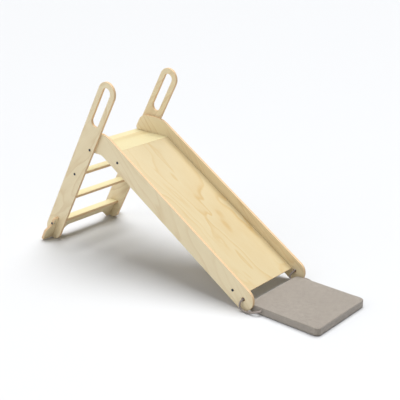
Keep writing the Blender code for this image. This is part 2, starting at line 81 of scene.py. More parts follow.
lens = bpy.data.cameras.new("camera")
lens.lens = LENS
lens.sensor_width = SENSOR
camera = bpy.data.objects.new("camera", lens)
bpy.context.scene.collection.objects.link(camera)
back = Vector((
    math.sin(VIEW_AZIMUTH) * math.cos(VIEW_ELEVATION),
    -math.cos(VIEW_AZIMUTH) * math.cos(VIEW_ELEVATION),
    math.sin(VIEW_ELEVATION),
))
camera.location = VIEW_CENTRE + VIEW_DISTANCE * back
camera.rotation_mode = "QUATERNION"
camera.rotation_quaternion = (-back).to_track_quat("-Z", "Y")
bpy.context.scene.camera = camera
print("camera at", [round(v, 3) for v in camera.location])

# %% [markdown]
# Each tie cord is a soft round braid, 10 mm thick. It leaves the back of the mat, climbs through the hole
# in the side board, loops down outside it and goes into the mat's side. A curve with a round bevel would
# do for a plain wire. A circle that is extruded from point to point along the route gives a mesh with a
# UV map instead, and the braid's pattern follows that.

# %% Lengths and routes of the cords
CORD_R = 0.005
CORD_HOLE = Vector((0.5157, 0, 0.060))
SEAM_Z = 0.022  # height at which the cords go into the mat
STEPS_A_LEG = 24  # steps of the smooth curve between two points of the route
mat_low, mat_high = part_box("mat_cover")
board_low, board_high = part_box("slide_side_left")
MIDDLE = (board_low.y + board_high.y) / 2
CORD_SAG = {  # m; heights of the route's points outside the board
    "left": (0.0250, 0.0160, 0.0130, 0.0178, 0.0215, 0.0225, 0.0220),
    "right": (0.0235, 0.0125, 0.0075, 0.0085, 0.0112, 0.0170, 0.0210),
}


def cord_route(side, sign):
    """The listed route from the mat's back, through the hole and round to the mat's side."""
    x, z = CORD_HOLE.x, CORD_HOLE.z
    sag = CORD_SAG[side]
    legs = [
        (mat_low.x - 0.0003, MIDDLE - 0.0365, SEAM_Z),
        (x + 0.0045, MIDDLE - 0.0365, SEAM_Z),
        (x - 0.0068, MIDDLE - 0.0353, z - 0.0332),
        (x - 0.0108, MIDDLE - 0.0315, z - 0.0220),
        (x - 0.0078, MIDDLE - 0.0225, z - 0.0105),
        (x - 0.0030, MIDDLE - 0.0112, z - 0.0027),
        (x, MIDDLE, z),
        (x - 0.0030, MIDDLE + 0.0112, z - 0.0027),
        (x - 0.0070, MIDDLE + 0.0190, z - 0.0115),
        (x - 0.0095, MIDDLE + 0.0220, z - 0.0235),
        (x - 0.0085, MIDDLE + 0.0223, sag[0]),
        (x + 0.0010, MIDDLE + 0.0217, sag[1]),
        (x + 0.0180, MIDDLE + 0.0215, sag[2]),
        (x + 0.0360, MIDDLE + 0.0210, sag[3]),
        (x + 0.0560, MIDDLE + 0.0190, sag[4]),
        (x + 0.0745, MIDDLE + 0.0160, sag[5]),
        (x + 0.0890, MIDDLE + 0.0110, sag[6]),
        (x + 0.0965, MIDDLE + 0.0025, SEAM_Z),
        (x + 0.0965, mat_high.y + 0.0003, SEAM_Z),
    ]
    return [Vector((a, sign * b, c)) for a, b, c in legs]


def smooth_line(points, spacing):
    """Points at even spacing on a smooth curve through the given ones, and its length."""
    ends = [2 * points[0] - points[1], *points, 2 * points[-1] - points[-2]]
    fine = []
    for p, q, r, s in zip(ends, ends[1:], ends[2:], ends[3:]):
        for k in range(STEPS_A_LEG):
            t = k / STEPS_A_LEG
            bend, twist = 2 * p - 5 * q + 4 * r - s, 3 * q - p - 3 * r + s
            fine.append(0.5 * (2 * q + (r - p) * t + bend * t**2 + twist * t**3))
    fine = np.array(fine + [points[-1]])
    reach = np.concatenate([[0], np.cumsum(np.linalg.norm(np.diff(fine, axis=0), axis=1))])
    wanted = np.linspace(0, reach[-1], round(reach[-1] / spacing) + 1)
    line = np.stack([np.interp(wanted, reach, fine[:, i]) for i in range(3)], axis=1)
    return [Vector(p) for p in line], reach[-1]


print("cord holes at y", [round(sign * MIDDLE, 4) for sign in (1, -1)], "m")

# %% Tie cords
CORD_SIDES = 20
CORD_STEP = 0.0015


def new_piece(name, bm, materials=(), smooth=None):
    """Makes an object at the origin from a bmesh, shaded smooth but for edges sharper than an angle."""
    mesh = bpy.data.meshes.new(name)
    bm.to_mesh(mesh)
    bm.free()
    piece = bpy.data.objects.new(name, mesh)
    bpy.context.scene.collection.objects.link(piece)
    for material in materials:
        mesh.materials.append(material)
    if smooth is not None:
        mesh.shade_smooth()
        mesh.set_sharp_from_angle(angle=math.radians(smooth))
    return piece


def extrude_ring(bm, edges):
    """Extrudes an open ring of edges, and returns the new points, edges and faces."""
    made = bmesh.ops.extrude_edge_only(bm, edges=edges)["geom"]
    verts = [g for g in made if isinstance(g, bmesh.types.BMVert)]
    faces = [g for g in made if isinstance(g, bmesh.types.BMFace)]
    edges = [g for g in made if isinstance(g, bmesh.types.BMEdge) and all(v in verts for v in g.verts)]
    return verts, edges, faces


def sweep(name, line, radius, sides):
    """A round tube along a line, with U along its length in metres and V once round it."""
    bm = bmesh.new()
    uv = bm.loops.layers.uv.new("UVMap")
    turns = []
    facing = (line[1] - line[0]).to_track_quat("Z", "Y")
    for i, point in enumerate(line):
        ahead = line[min(i + 1, len(line) - 1)] - line[max(i - 1, 0)]
        facing = (facing @ Vector((0, 0, 1))).rotation_difference(ahead) @ facing
        turns.append(Matrix.Translation(point) @ facing.to_matrix().to_4x4())
    ring = bmesh.ops.create_circle(bm, cap_ends=True, segments=sides, radius=radius)["verts"]
    bmesh.ops.transform(bm, matrix=turns[0], verts=ring)
    edges = list(bm.edges)
    run = 0.0
    for i in range(1, len(line)):
        verts, edges, faces = extrude_ring(bm, edges)
        bmesh.ops.transform(bm, matrix=turns[i] @ turns[i - 1].inverted(), verts=verts)
        step = (line[i] - line[i - 1]).length
        inside = turns[i].inverted()
        for face in faces:
            around = [math.atan2(*(inside @ l.vert.co).yx) / (2 * math.pi) % 1 for l in face.loops]
            wraps = max(around) - min(around) > 0.5
            for loop, v in zip(face.loops, around):
                far = loop.vert in verts
                loop[uv].uv = (run + (step if far else 0), v + (1 if wraps and v < 0.5 else 0))
        run += step
    bmesh.ops.holes_fill(bm, edges=edges)
    bmesh.ops.recalc_face_normals(bm, faces=bm.faces)
    return new_piece(name, bm, smooth=50)


cords = {}
for side, sign in (("left", 1), ("right", -1)):
    route = cord_route(side, sign)
    line, length = smooth_line(route, CORD_STEP)
    cord = sweep(f"cord_{side}", line, CORD_R, CORD_SIDES)
    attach(cord, "mat")
    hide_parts(f"tie_cord_{side}")
    cords[side] = cord
    print(f"cord_{side}: {length * 1000:.0f} mm")

# %% [markdown]
# Every material is a Principled shader fed by a few nodes. One small function adds a node, sets it and
# links it, and one turns an sRGB hex colour to the linear values that a shader works in.

# %% Helpers for materials


def linear(hexcode):
    """An sRGB hex colour as linear red, green, blue and alpha."""
    parts = [int(hexcode[i:i + 2], 16) / 255 for i in (1, 3, 5)]
    return (*[c / 12.92 if c <= 0.04045 else ((c + 0.055) / 1.055) ** 2.4 for c in parts], 1)


def add(tree, kind, inputs=None, stops=None, **settings):
    """Adds a node. An input is a value or another node's socket, and stops are a ramp's colours."""
    node = tree.nodes.new(kind)
    for key, value in settings.items():
        setattr(node, key, value)
    for key, value in (inputs or {}).items():
        if isinstance(value, bpy.types.NodeSocket):
            tree.links.new(value, node.inputs[key])
        else:
            node.inputs[key].default_value = value
    for i, (place, colour) in enumerate(stops or []):
        element = node.color_ramp.elements[i] if i < 2 else node.color_ramp.elements.new(place)
        element.position, element.color = place, colour
    return node


def new_material(name, roughness, metallic=0.0, ior=1.45):
    """A Principled material with its node tree and its shader. A metal keeps the default IOR."""
    material = bpy.data.materials.new(name)
    material.use_nodes = True
    tree = material.node_tree
    shader = tree.nodes["Principled BSDF"]
    shader.inputs["Roughness"].default_value = roughness
    shader.inputs["Metallic"].default_value = metallic
    if not metallic:
        shader.inputs["IOR"].default_value = ior
    return material, tree, shader


def grey(level):
    return (level, level, level, 1)


print("mid grey #808080 is", round(linear("#808080")[0], 3), "in linear light")

# %% [markdown]
# Birch plywood shows two faces. The veneer is peeled from a turning log, so its growth rings come out as
# wide, wandering contours, a shade darker than the cream wood, with fine darker fibres along the grain.
# The pattern here cuts a stretched noise at even heights, as a map draws contours, so the lines never
# cross. Each board carries an attribute that says where a point is along the grain, across it, and how
# deep in the board it is, so one material serves boards that lean every way.

# %% Veneer
FIBRE = 0.0022  # m; real fibres are under 1 mm, and drawn coarser so that they show
FIBRE_SHAPE = 0.035  # a fibre's width as a share of its length
CLOUD = 0.20  # m; patches where the rings fade and return
RINGS = 9.0  # heights at which the noise is cut


def veneer(name, pale, dark, roughness, hill=0.160, stretch=5.0, waver=0.5):
    """Clear-lacquered rotary-cut birch: it gives the eye cream wood with soft honey contours.

    The contours run round hills of noise: hill is their size in metres, and stretch how much longer they
    are along the grain.
    """
    material, tree, shader = new_material(name, roughness)
    board = add(tree, "ShaderNodeAttribute", attribute_name="board").outputs["Vector"]
    figure = add(tree, "ShaderNodeMapping", {"Vector": board, "Scale": (1 / stretch, 1, 0)})
    hills = add(tree, "ShaderNodeTexNoise", {
        "Vector": figure.outputs[0], "Scale": 1 / hill, "Detail": 2.5, "Roughness": 0.45,
        "Distortion": waver,
    })
    height = add(tree, "ShaderNodeMath", {0: hills.outputs["Fac"], 1: RINGS}, operation="MULTIPLY")
    wave = add(tree, "ShaderNodeMath", {0: height.outputs[0], 1: 1.0}, operation="FRACT")
    ring = add(tree, "ShaderNodeValToRGB", {"Fac": wave.outputs[0]}, stops=[
        (0.0, grey(0.05)), (0.60, grey(0.30)), (0.84, grey(0.95)), (0.93, grey(0.15)), (1.0, grey(0.05)),
    ])
    cloud = add(tree, "ShaderNodeTexNoise", {"Vector": figure.outputs[0], "Scale": 1 / CLOUD, "Detail": 2.0})
    grain = add(tree, "ShaderNodeMapping", {"Vector": board, "Scale": (FIBRE_SHAPE, 1, 0)})
    fibres = add(tree, "ShaderNodeTexNoise", {
        "Vector": grain.outputs[0], "Scale": 1 / FIBRE, "Detail": 3.0, "Roughness": 0.6,
    })
    strength = add(tree, "ShaderNodeMapRange", {
        "Value": cloud.outputs["Fac"], "From Min": 0.35, "From Max": 0.7, "To Min": 0.25, "To Max": 1.0,
    })
    lines = add(tree, "ShaderNodeMath", {0: ring.outputs[0], 1: strength.outputs[0]}, operation="MULTIPLY")
    fleck = add(tree, "ShaderNodeMapRange", {
        "Value": fibres.outputs["Fac"], "From Min": 0.3, "From Max": 0.75, "To Min": 0.0, "To Max": 0.32,
    })
    shade = add(tree, "ShaderNodeMath", {0: lines.outputs[0], 1: fleck.outputs[0]}, operation="ADD",
                use_clamp=True)
    colour = add(tree, "ShaderNodeMix", {
        "Factor": shade.outputs[0], 6: linear(pale), 7: linear(dark),
    }, data_type="RGBA")
    tree.links.new(colour.outputs[2], shader.inputs["Base Color"])
    bump = add(tree, "ShaderNodeBump", {
        "Height": fibres.outputs["Fac"], "Strength": 0.08, "Distance": 0.0002,
    })
    tree.links.new(bump.outputs[0], shader.inputs["Normal"])
    return material


# One birch ply in three copies. The chute's and the treads' copies are painted darker than the sides', as
# painted shade that offsets the stronger overhead light on these upward faces.
side_veneer = veneer("birch_ply_face", "#EBDDBA", "#D9C298", 0.46)
chute_veneer_painted_shade = veneer(
    "birch_ply_chute_face", "#D0C19B", "#C6AA76", 0.40, hill=0.22, stretch=3.0, waver=0.45,
)
tread_veneer_painted_shade = veneer("birch_ply_tread_face", "#DBD2AA", "#CBB98A", 0.42, hill=0.7)  # few rings on a tread
print("veneers:", side_veneer.name, chute_veneer_painted_shade.name, tread_veneer_painted_shade.name)

# %% [markdown]
# A plywood edge shows its plies. Every second ply is end grain, which drinks the lacquer and turns
# darker, and between them long grain stays pale orange. Depth in the board picks the ply.

# %% Ply edges
PLY = 0.00136  # m, one ply
WOBBLE = 0.025  # m; a ply thins and thickens over this length
PORES_PER_METRE = 900.0


def ply_edge(name, light, dark):
    """Sanded and lacquered plies: stripes along the edge, brown end grain between honey long grain."""
    material, tree, shader = new_material(name, 0.55)
    board = add(tree, "ShaderNodeAttribute", attribute_name="board").outputs["Vector"]
    parts = add(tree, "ShaderNodeSeparateXYZ", {"Vector": board})
    wobble = add(tree, "ShaderNodeTexNoise", {"Vector": board, "Scale": 1 / WOBBLE, "Detail": 2.0})
    shift = add(tree, "ShaderNodeMapRange", {
        "Value": wobble.outputs["Fac"], "To Min": -0.12 * PLY, "To Max": 0.12 * PLY,
    })
    deep = add(tree, "ShaderNodeMath", {0: parts.outputs["Z"], 1: shift.outputs[0]}, operation="ADD")
    count = add(tree, "ShaderNodeMath", {0: deep.outputs[0], 1: math.pi / PLY}, operation="MULTIPLY")
    band = add(tree, "ShaderNodeMath", {0: count.outputs[0]}, operation="COSINE")
    stripe = add(tree, "ShaderNodeMapRange", {
        "Value": band.outputs[0], "From Min": -0.35, "From Max": 0.35, "To Min": 0.0, "To Max": 0.75,
    })
    pores = add(tree, "ShaderNodeTexNoise", {"Vector": board, "Scale": PORES_PER_METRE, "Detail": 2.0})
    speck = add(tree, "ShaderNodeMapRange", {
        "Value": pores.outputs["Fac"], "From Min": 0.5, "From Max": 0.75, "To Min": 0.0, "To Max": 0.35,
    })
    shade = add(tree, "ShaderNodeMath", {0: stripe.outputs[0], 1: speck.outputs[0]}, operation="ADD",
                use_clamp=True)
    colour = add(tree, "ShaderNodeMix", {
        "Factor": shade.outputs[0], 6: linear(light), 7: linear(dark),
    }, data_type="RGBA")
    tree.links.new(colour.outputs[2], shader.inputs["Base Color"])
    bump = add(tree, "ShaderNodeBump", {"Height": shade.outputs[0], "Strength": 0.15, "Distance": 0.0001})
    tree.links.new(bump.outputs[0], shader.inputs["Normal"])
    return material


edge_plies = ply_edge("birch_ply_edge", "#EACFA6", "#C9A277")
print("edge:", edge_plies.name)

# %% [markdown]
# The boards are the CAD nodes themselves, so nothing is fitted: each is copied, its loose triangles are
# merged, and flat ones dissolve back into whole faces. A router and sandpaper take the sharp corner off
# a real board. Only the rims of the boards and of the handle slots are eased that way, not the bores and
# housings, where a neighbour sits. A Bevel modifier would treat them all alike, so the edges are picked
# here first.
#
# The bevel isn't clamped, because a clamp lets one tight corner thin the easing of the whole board. On an
# outrigger that turns one sliver of the face over, and it is joined with the faces beside it. A thin one
# in each slide side's housing stays, under the platform.

# %% How the boards lie
DOWN_SLOPE = math.radians(31.6)
box_low, box_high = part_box("ladder_side_left")
BOARD_R = 0.060
LEAN = math.atan2(box_high.x - box_low.x - 2 * BOARD_R, box_high.z - box_low.z - 2 * BOARD_R)
X, Y, Z = Vector((1, 0, 0)), Vector((0, 1, 0)), Vector((0, 0, 1))
up_ladder = Vector((math.sin(LEAN), 0, math.cos(LEAN)))
out_of_ladder = Vector((math.cos(LEAN), 0, -math.sin(LEAN)))
down_chute = Vector((math.cos(DOWN_SLOPE), 0, -math.sin(DOWN_SLOPE)))
out_of_chute = Vector((math.sin(DOWN_SLOPE), 0, math.cos(DOWN_SLOPE)))
print("the ladder leans", round(math.degrees(LEAN), 1), "degrees")

# %% Which edges are eased
SMALLEST_EASED = 0.018  # m; bores smaller than this stay crisp
MERGE = 0.00001  # m; points closer than this are one
SAME_PLANE = 0.002  # radians; flat faces that differ by less are one


def merged_copy(name):
    """A bmesh copy of a CAD node, its loose triangles merged and its flat ones joined."""
    bm = bmesh.new()
    bm.from_mesh(nodes[name].data)
    bmesh.ops.remove_doubles(bm, verts=bm.verts, dist=MERGE)
    bmesh.ops.dissolve_limit(bm, angle_limit=SAME_PLANE, verts=bm.verts, edges=bm.edges)
    return bm


def outer_edges(bm, through, thickness):
    """Edges between a board's face and a rim that is as deep as the board, in loops of some size."""
    found = set()
    for edge in bm.edges:
        if len(edge.link_faces) != 2:
            continue
        face, rim = sorted(edge.link_faces, key=lambda f: -abs(f.normal.dot(through)))
        if abs(face.normal.dot(through)) < 0.999 or abs(rim.normal.dot(through)) > 0.02:
            continue
        depths = [v.co.dot(through) for v in rim.verts]
        if max(depths) - min(depths) > 0.9 * thickness:
            found.add(edge)
    chosen, left = [], set(found)
    while left:
        loop, todo = set(), [left.pop()]
        while todo:
            edge = todo.pop()
            loop.add(edge)
            near = {e for v in edge.verts for e in v.link_edges} & left
            left -= near
            todo += near
        places = np.array([v.co for e in loop for v in e.verts])
        if np.linalg.norm(np.ptp(places, axis=0)) > SMALLEST_EASED:
            chosen += loop
    return chosen


print("bores under", SMALLEST_EASED * 1000, "mm keep their crisp edge")


# %% Dress a board
FIGURE_SIDESTEP = 0.37  # share of a board's shift that also goes across its grain


def join_turned_sliver(bm, through, middle, thickness):
    """Joins a sliver of a board's outer face that the easing turned over with the faces beside it."""
    bm.normal_update()
    faces = [f for f in bm.faces if abs(f.normal.dot(through)) > 0.999]
    outer = {f for f in faces if abs(abs(f.verts[0].co.dot(through) - middle) - thickness / 2) < MERGE}
    for face in outer:
        if (face.verts[0].co.dot(through) - middle) * face.normal.dot(through) < 0:
            shared = [e for e in face.edges if len(set(e.link_faces) & outer) == 2]
            bmesh.ops.dissolve_edges(bm, edges=shared, use_verts=False)
            break


def dress_board(name, through, grain, face_material, ease, shift):
    """Eases a board and gives it its veneer and plies. A shift gives each board a figure of its own."""
    bm = merged_copy(name)
    depths = [v.co.dot(through) for v in bm.verts]
    thickness, middle = max(depths) - min(depths), (max(depths) + min(depths)) / 2
    eased = outer_edges(bm, through, thickness)
    bmesh.ops.bevel(
        bm, geom=eased, offset=ease, segments=3, profile=0.5, affect="EDGES", material=-1,
        clamp_overlap=False,
    )
    join_turned_sliver(bm, through, middle, thickness)
    bmesh.ops.triangulate(bm, faces=[f for f in bm.faces if len(f.verts) > 4])
    for face in bm.faces:
        face.material_index = 0 if abs(face.normal.dot(through)) > 0.9 else 1
    piece = new_piece(f"ply_{name}", bm, [face_material, edge_plies], smooth=35)
    across = through.cross(grain)
    board = piece.data.attributes.new("board", "FLOAT_VECTOR", "POINT")
    for vertex, place in zip(piece.data.vertices, board.data):
        at = vertex.co
        sideways = at.dot(across) + FIGURE_SIDESTEP * shift
        place.vector = (at.dot(grain) + shift, sideways, at.dot(through) - middle)
    even = piece.modifiers.new("even shading", "WEIGHTED_NORMAL")
    even.keep_sharp = True
    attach(piece, nodes[name]["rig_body"])
    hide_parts(name)
    return piece, len(eased)


print("the figure's sideways share is", FIGURE_SIDESTEP)

# %% The boards
LADDER_GRAIN, SLIDE_GRAIN = math.radians(20), math.radians(16)  # how far the grain turns off the board
FIGURE_STEP = 1.7  # m from one board's figure to the next
ladder_grain = Matrix.Rotation(LADDER_GRAIN, 3, "Y") @ up_ladder
slide_grain = Matrix.Rotation(SLIDE_GRAIN, 3, "Y") @ down_chute
# each board's name, the way through it, its grain, its veneer and its easing in metres
BOARDS = [
    ("ladder_side_left", Y, ladder_grain, side_veneer, 0.0018),
    ("ladder_side_right", Y, ladder_grain, side_veneer, 0.0018),
    ("slide_side_left", Y, slide_grain, side_veneer, 0.0018),
    ("slide_side_right", Y, slide_grain, side_veneer, 0.0018),
    ("outrigger_left", out_of_ladder, up_ladder, side_veneer, 0.0015),
    ("outrigger_right", out_of_ladder, up_ladder, side_veneer, 0.0015),
    ("brace_board", out_of_ladder, Y, side_veneer, 0.0012),
    ("cross_rail_upper", out_of_chute, Y, side_veneer, 0.0010),
    ("cross_rail_lower", out_of_chute, Y, side_veneer, 0.0010),
    ("tread_lower", Z, Y, tread_veneer_painted_shade, 0.0015),
    ("tread_middle", Z, Y, tread_veneer_painted_shade, 0.0015),
    ("tread_upper", Z, Y, tread_veneer_painted_shade, 0.0015),
    ("tread_top", Z, Y, tread_veneer_painted_shade, 0.0030),
    ("platform_board", Z, Y, tread_veneer_painted_shade, 0.0022),
    ("chute_panel", out_of_chute, down_chute, chute_veneer_painted_shade, 0.0008),
]
for i, (name, through, grain, face_material, ease) in enumerate(BOARDS):
    piece, count = dress_board(name, through, grain, face_material, ease, FIGURE_STEP * (i + 1))
    print(f"{piece.name}: {count} edges eased by {ease * 1000:.1f} mm")

# %% [markdown]
# The bolts have a low domed head with a hexagon socket, in black zinc. A head turned from a profile
# would have a round socket, so this one grows from a hexagon: its six sides are subdivided, the socket's
# wall rises from it, and the next ring is drawn out to a circle. From there each ring is extruded and
# scaled outwards over the dome, under the head and down the shank.

# %% Bolts
BOLT_SIDES = 24
HEAD_R, HEAD_H = 0.0070, 0.0035
SOCKET_R, SOCKET_DEPTH = 0.0026, 0.0022
SOCKET_RIM = 0.0005
DOME_R = 0.0022
LIP = 0.0003  # below the socket's mouth, and under the head
PIVOT_SHANK_R, SHANK_R = 0.004, 0.003
HEAD_DRAFT = 0.0002
TIP_TAPER = 0.001
MOTTLE_PER_METRE = 350.0


def bolt_metal(name, colour, roughness):
    """Zinc plate, blackened or bright: a little uneven, as a barrel-plated screw is."""
    material, tree, shader = new_material(name, roughness, metallic=1.0)
    place = add(tree, "ShaderNodeTexCoord").outputs["Object"]
    uneven = add(tree, "ShaderNodeTexNoise", {
        "Vector": place, "Scale": MOTTLE_PER_METRE, "Detail": 3.0,
    })
    rough = add(tree, "ShaderNodeMapRange", {
        "Value": uneven.outputs["Fac"], "To Min": roughness - 0.1, "To Max": roughness + 0.15,
    })
    tree.links.new(rough.outputs[0], shader.inputs["Roughness"])
    shader.inputs["Base Color"].default_value = linear(colour)
    return material


black_zinc = bolt_metal("black_zinc_steel", "#4B4E58", 0.5)
bright_zinc = bolt_metal("bright_zinc_steel", "#A9ABB0", 0.34)


def make_bolt(name):
    """A bolt along Y, its head outwards, in the CAD bolt's own box."""
    low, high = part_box(name)
    sign = 1 if low.y + high.y > 0 else -1
    shank_r = PIVOT_SHANK_R if name.startswith("pivot") else SHANK_R
    tip = (high.y - low.y) - HEAD_H
    bm = bmesh.new()
    bmesh.ops.create_circle(bm, cap_ends=True, segments=6, radius=SOCKET_R)
    bmesh.ops.subdivide_edges(bm, edges=bm.edges, cuts=BOLT_SIDES // 6 - 1)
    bmesh.ops.translate(bm, verts=bm.verts, vec=(0, 0, HEAD_H - SOCKET_DEPTH))
    edges = [e for e in bm.edges if len(e.link_faces) == 1]
    # (radius, height) of each ring after the floor of the socket; None keeps the hexagon
    arc = [math.radians(a) for a in (80, 60, 40, 20, 0)]
    rings = [(None, HEAD_H - LIP), (SOCKET_R + SOCKET_RIM, HEAD_H)]
    rings += [
        (HEAD_R - DOME_R + DOME_R * math.cos(a), HEAD_H - DOME_R + DOME_R * math.sin(a)) for a in arc
    ]
    rings += [(HEAD_R - HEAD_DRAFT, LIP), (shank_r, LIP)]
    rings += [(shank_r, TIP_TAPER - tip), (shank_r - TIP_TAPER, -tip)]
    for radius, height in rings:
        verts, edges, _ = extrude_ring(bm, edges)
        for vert in verts:
            flat = vert.co.xy if radius is None else vert.co.xy.normalized() * radius
            vert.co = (*flat, height)
    bmesh.ops.holes_fill(bm, edges=edges)
    bmesh.ops.recalc_face_normals(bm, faces=bm.faces)
    bmesh.ops.rotate(bm, verts=bm.verts, matrix=Matrix.Rotation(-sign * math.pi / 2, 3, "X"))
    seat = (high.y if sign > 0 else low.y) - sign * HEAD_H
    centre = (low + high) / 2
    bmesh.ops.translate(bm, verts=bm.verts, vec=(centre.x, seat, centre.z))
    piece = new_piece(f"steel_{name}", bm, [black_zinc], smooth=38)
    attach(piece, nodes[name]["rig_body"])
    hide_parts(name)
    return piece


bolts = [make_bolt(name) for name in sorted(nodes) if "bolt" in name]
print(len(bolts), "bolts, head", HEAD_R * 2000, "mm across")

# %% [markdown]
# Barrel nuts, dowels and bushes have the right shape already, so they keep it and only get a finish:
# bright zinc, dry beech with its short dark flecks, and waxy natural nylon.

# %% Small parts that keep their CAD shape
FLECKS_PER_METRE = 1400.0
MILKY = 0.005  # m, the size of the nylon's clouds


def beech_rod(name):
    """Planed beech: pinkish tan, with short dark flecks along the rod."""
    material, tree, shader = new_material(name, 0.6)
    place = add(tree, "ShaderNodeTexCoord").outputs["Object"]
    along = add(tree, "ShaderNodeMapping", {"Vector": place, "Scale": (1, 0.15, 1)})
    fleck = add(tree, "ShaderNodeTexNoise", {
        "Vector": along.outputs[0], "Scale": FLECKS_PER_METRE, "Detail": 2.0,
    })
    shade = add(tree, "ShaderNodeMapRange", {
        "Value": fleck.outputs["Fac"], "From Min": 0.45, "From Max": 0.7,
    })
    colour = add(tree, "ShaderNodeMix", {
        "Factor": shade.outputs[0], 6: linear("#D9B48C"), 7: linear("#A87B52"),
    }, data_type="RGBA")
    tree.links.new(colour.outputs[2], shader.inputs["Base Color"])
    return material


def moulded_nylon(name):
    """Natural nylon: milky and faintly mottled."""
    material, tree, shader = new_material(name, 0.4, ior=1.53)
    place = add(tree, "ShaderNodeTexCoord").outputs["Object"]
    cloud = add(tree, "ShaderNodeTexNoise", {"Vector": place, "Scale": 1 / MILKY, "Detail": 2.0})
    colour = add(tree, "ShaderNodeMix", {
        "Factor": cloud.outputs["Fac"], 6: linear("#E9E7DE"), 7: linear("#DAD8CC"),
    }, data_type="RGBA")
    tree.links.new(colour.outputs[2], shader.inputs["Base Color"])
    return material


FINISHES = {"nut": bright_zinc, "dowel": beech_rod("beech_dowel"), "bush": moulded_nylon("natural_nylon")}
for name, node in nodes.items():
    for word, finish in FINISHES.items():
        if f"_{word}_" in name:
            node.data.materials.clear()
            node.data.materials.append(finish)
print("finished:", sorted(FINISHES))

# %% [markdown]
# The landing mat is firm foam in a tight woven cover. A block with rounded corners looks stiff. What
# shows that cloth is stretched over foam is a faint crown, sides that aren't quite flat, and a weave. The
# cover starts a little small, is remeshed to even 5 mm cells, and is blown up as cloth with a gentle
# pressure. The swell is capped, evened between neighbouring points, and fades out towards the foot, so
# the mat stays within its size and flat underneath.

# %% Mat shape
MAT_CORNER_R = 0.025
MAT_EDGE_R = 0.004
MAT_SHRINK = 0.0012
MAT_UNDER = 0.0010  # height of the underside, 0.2 mm into the non-slip sheet so that no gap shows
LEVEL = 1e-6  # m; an edge whose ends differ by less is level
VOXEL = 0.005
PRESSURE, STIFFNESS, CLOTH_FRAMES = 4.0, 40, 20
MAX_SWELL = 0.0012
EVENING_ROUNDS = 12
FOOT_HOLD = 0.012  # m over which the swell grows from nothing at the foot


def mat_block(name, shrink):
    """A slab with round corners and soft edges, smaller than the CAD cover all round."""
    low, high = mat_low + Vector((shrink,) * 3), mat_high - Vector((shrink,) * 3)
    low.z = MAT_UNDER
    bm = bmesh.new()
    bmesh.ops.create_cube(bm, size=1)
    bmesh.ops.scale(bm, verts=bm.verts, vec=high - low)
    bmesh.ops.translate(bm, verts=bm.verts, vec=(low + high) / 2)
    upright = [e for e in bm.edges if abs(e.verts[0].co.z - e.verts[1].co.z) > 0.01]
    bmesh.ops.bevel(bm, geom=upright, offset=MAT_CORNER_R, segments=10, profile=0.5, affect="EDGES",
                    material=-1)
    level = [e for e in bm.edges if abs(e.verts[0].co.z - e.verts[1].co.z) < LEVEL
             and any(abs(f.normal.z) < 0.5 for f in e.link_faces)
             and any(abs(f.normal.z) > 0.5 for f in e.link_faces)]
    bmesh.ops.bevel(bm, geom=level, offset=MAT_EDGE_R, segments=5, profile=0.5, affect="EDGES", material=-1)
    return new_piece(name, bm)


def swell(piece):
    """Remeshes a closed piece, inflates it as cloth and keeps a capped, evened share of that."""
    remesh = piece.modifiers.new("even cells", "REMESH")
    remesh.mode, remesh.voxel_size = "VOXEL", VOXEL
    graph = bpy.context.evaluated_depsgraph_get()
    piece.data = bpy.data.meshes.new_from_object(piece.evaluated_get(graph))
    piece.modifiers.clear()
    rest = np.array([v.co for v in piece.data.vertices])
    cloth = piece.modifiers.new("cloth", "CLOTH")
    cloth.settings.use_pressure = True
    cloth.settings.uniform_pressure_force = PRESSURE
    cloth.settings.tension_stiffness = cloth.settings.compression_stiffness = STIFFNESS
    cloth.settings.effector_weights.gravity = 0
    cloth.point_cache.frame_start, cloth.point_cache.frame_end = 1, CLOTH_FRAMES
    scene = bpy.context.scene
    for step in range(1, CLOTH_FRAMES + 1):
        scene.frame_set(step)
    blown = piece.evaluated_get(bpy.context.evaluated_depsgraph_get()).to_mesh()
    moved = np.array([v.co for v in blown.vertices]) - rest
    scene.frame_set(1)
    piece.modifiers.clear()
    far = np.linalg.norm(moved, axis=1, keepdims=True)
    moved *= np.minimum(1.0, MAX_SWELL / np.maximum(far, 1e-9))
    pairs = np.array([e.vertices for e in piece.data.edges])
    for _ in range(EVENING_ROUNDS):
        total, count = moved.copy(), np.ones((len(rest), 1))
        for one, other in (pairs.T, pairs.T[::-1]):
            np.add.at(total, one, moved[other])
            np.add.at(count, one, 1)
        moved = total / count
    height = (rest[:, 2:] - MAT_UNDER) / FOOT_HOLD
    moved *= np.clip(height, 0, 1)
    piece.data.vertices.foreach_set("co", (rest + moved).astype(np.float32).ravel())
    return float(far.max())


cover = mat_block("mat_woven_cover", MAT_SHRINK)
print(f"the cover swelled by up to {swell(cover) * 1000:.1f} mm before its cap")

# %% Mat form: crowned on top, flat underneath
TOP_CROWN = 0.0016
UNDERSIDE = 0.04  # share of the height, below which a point is set flat


def shape_mat(piece):
    """Crowns the top, and keeps the underside flat."""
    places = np.array([v.co for v in piece.data.vertices])
    middle, half = (mat_low + mat_high) / 2, (mat_high - mat_low) / 2
    u, v = (places[:, 0] - middle.x) / half.x, (places[:, 1] - middle.y) / half.y
    bulge = np.clip(1 - np.abs(u) ** 3, 0, 1) * np.clip(1 - np.abs(v) ** 3, 0, 1)
    share = np.clip((places[:, 2] - MAT_UNDER) / (mat_high.z - MAT_UNDER), 0, 1)
    places[:, 2] += TOP_CROWN * (bulge - 1) * share
    places[:, 2] = np.where(share < UNDERSIDE, MAT_UNDER, places[:, 2])
    piece.data.vertices.foreach_set("co", places.astype(np.float32).ravel())
    piece.data.update()


shape_mat(cover)
cover.data.shade_smooth()
fine = cover.modifiers.new("subdivision", "SUBSURF")
fine.levels = fine.render_levels = 1
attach(cover, "mat")
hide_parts("mat_cover", "mat_core")
print(cover.name, len(cover.data.vertices), "vertices")

